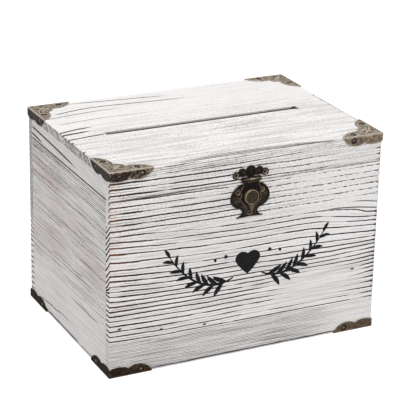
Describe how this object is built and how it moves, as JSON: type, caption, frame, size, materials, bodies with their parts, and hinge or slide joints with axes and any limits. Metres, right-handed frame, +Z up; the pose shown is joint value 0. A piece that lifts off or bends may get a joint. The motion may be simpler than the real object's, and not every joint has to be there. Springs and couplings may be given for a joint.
{
  "type": "wedding card box",
  "caption": "Whitewashed wooden card box with a hinged, slotted lid, scalloped bronze corner brackets, a hanging hasp on the front and butt hinges on the back.",
  "frame": {"origin": "middle of the bounding box at floor level, under the base corners", "axes": "+X to the right seen from the front, +Y from the front to the back, +Z up"},
  "size_m": [0.282, 0.2108, 0.202],
  "materials": {
    "whitewashed_wood": "brushed, scorched along the grain and washed with thin white paint",
    "antique_bronze": "antique bronze plating rubbed lighter on the edges",
    "dark_bronze": "dark antique bronze",
    "rubbed_brass": "aged brass with dark recesses",
    "plain_steel": "plain drawn wire"
  },
  "bodies": {
    "box": {"back_panel": "whitewashed_wood", "base_brads": "plain_steel", "base_corner_back_left": "antique_bronze", "base_corner_back_right": "antique_bronze", "base_corner_front_left": "antique_bronze", "base_corner_front_right": "antique_bronze", "base_corner_nails": "dark_bronze", "base_panel": "whitewashed_wood", "front_panel": "whitewashed_wood", "hasp_body_nails": "dark_bronze", "hasp_body_plate": "antique_bronze", "hasp_catch_peg": "dark_bronze", "hinge_body_nails": "dark_bronze", "hinge_left_body_leaf": "antique_bronze", "hinge_left_pin": "dark_bronze", "hinge_right_body_leaf": "antique_bronze", "hinge_right_pin": "dark_bronze", "left_panel": "whitewashed_wood", "right_panel": "whitewashed_wood", "wall_brads": "plain_steel"},
    "lid": {"hasp_lid_nails": "dark_bronze", "hasp_lid_plate": "antique_bronze", "hasp_pin": "dark_bronze", "hinge_left_lid_leaf": "antique_bronze", "hinge_lid_nails": "dark_bronze", "hinge_right_lid_leaf": "antique_bronze", "lid_back_rail": "whitewashed_wood", "lid_corner_back_left": "antique_bronze", "lid_corner_back_right": "antique_bronze", "lid_corner_front_left": "antique_bronze", "lid_corner_front_right": "antique_bronze", "lid_corner_nails": "dark_bronze", "lid_front_rail": "whitewashed_wood", "lid_left_rail": "whitewashed_wood", "lid_rail_brads": "plain_steel", "lid_right_rail": "whitewashed_wood", "lid_top_brads": "plain_steel", "lid_top_panel": "whitewashed_wood"},
    "flap": {"hasp_flap": "antique_bronze", "hasp_button": "rubbed_brass"}
  },
  "joints": [
    {"name": "lid_hinge", "type": "hinge", "parent": "box", "child": "lid", "pos_m": [0, 0.1033, 0.1735], "axis": [-1, 0, 0], "range_deg": [0, 180]},
    {"name": "flap_swing", "type": "hinge", "parent": "lid", "child": "flap", "pos_m": [0, -0.1016, 0.1765], "axis": [-1, 0, 0], "range_deg": [0, 150]}
  ]
}
